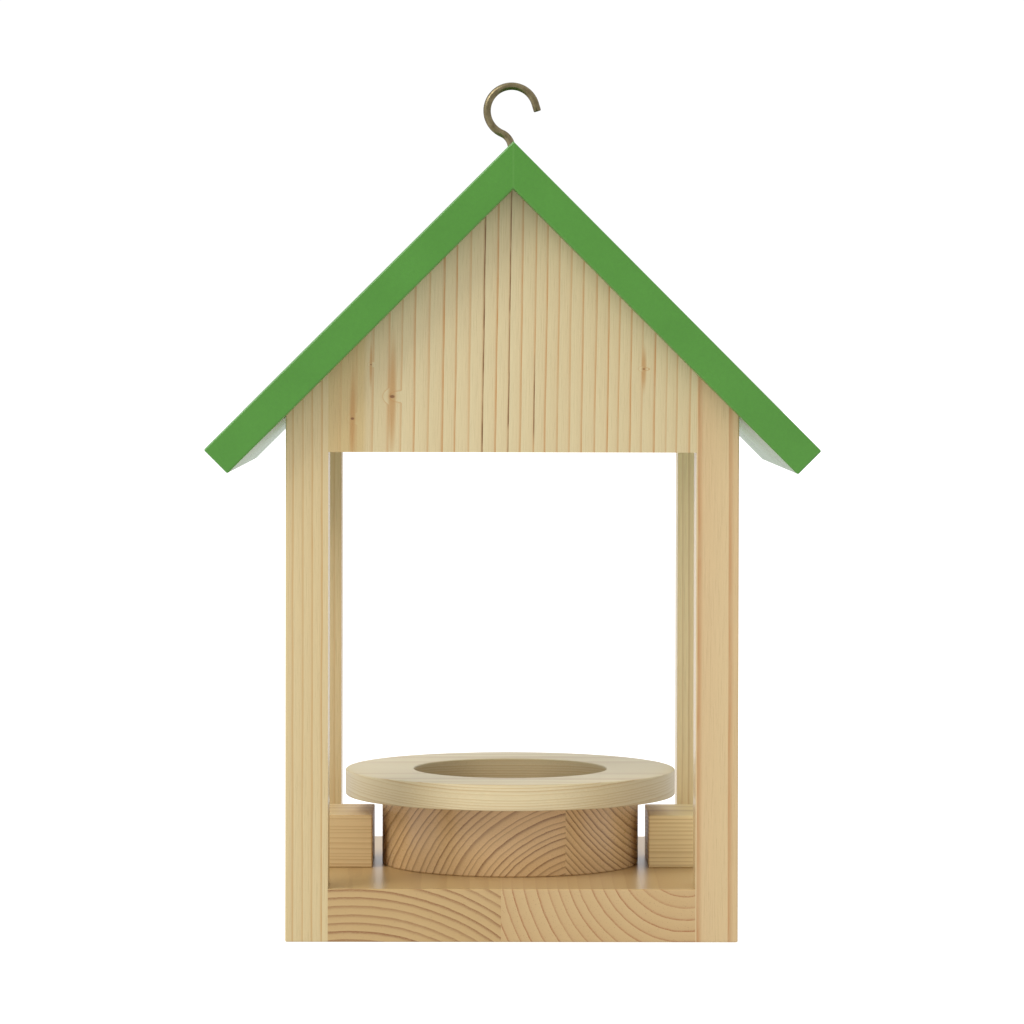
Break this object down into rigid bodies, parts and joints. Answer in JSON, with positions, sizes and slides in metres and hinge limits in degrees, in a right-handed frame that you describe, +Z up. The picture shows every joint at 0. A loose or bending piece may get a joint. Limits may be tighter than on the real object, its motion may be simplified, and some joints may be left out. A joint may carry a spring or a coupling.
{
  "type": "bird feeder",
  "caption": "House-shaped wooden bird feeder with a pitched green roof, a screw hook at the ridge and a loose round seed bowl that slides out between the posts.",
  "frame": {"origin": "middle of the underside of the base, at the centre of the whole object's box, on the surface it stands on", "axes": "+Z up along the ridge height, +X to the right across the front, +Y from the front to the back along the ridge"},
  "size_m": [0.2294, 0.194, 0.3277],
  "materials": {
    "pine": "sanded pine under a thin satin lacquer",
    "drum_pine": "turned pine end grain under a thin satin lacquer",
    "green_roof": "satin green paint on planed pine",
    "hook_brass": "antique brass plating, satin",
    "beech": "plain beech dowel",
    "screw_steel": "zinc plated",
    "painted_screws": "steel screws painted over with the roof"
  },
  "bodies": {
    "house": {"floor_plank_left": "pine", "floor_plank_right": "pine", "front_left_post": "pine", "front_right_post": "pine", "rear_left_post": "pine", "rear_right_post": "pine", "front_gable": "pine", "rear_gable": "pine", "ridge_rail": "pine", "roof_board_left": "green_roof", "roof_board_right": "green_roof", "screw_hook": "hook_brass", "left_stop_block": "pine", "right_stop_block": "pine", "gable_dowels": "beech", "post_screws": "screw_steel", "roof_screws": "painted_screws", "ridge_screws": "painted_screws", "block_screws": "screw_steel"},
    "bowl": {"drum_stave_left": "drum_pine", "drum_stave_right": "drum_pine", "bowl_rim": "pine", "rim_dowels": "beech"}
  },
  "joints": [
    {"name": "bowl_slide", "type": "slide", "parent": "house", "child": "bowl", "axis": [0, -1, 0], "range_m": [-0.16, 0.16]}
  ]
}
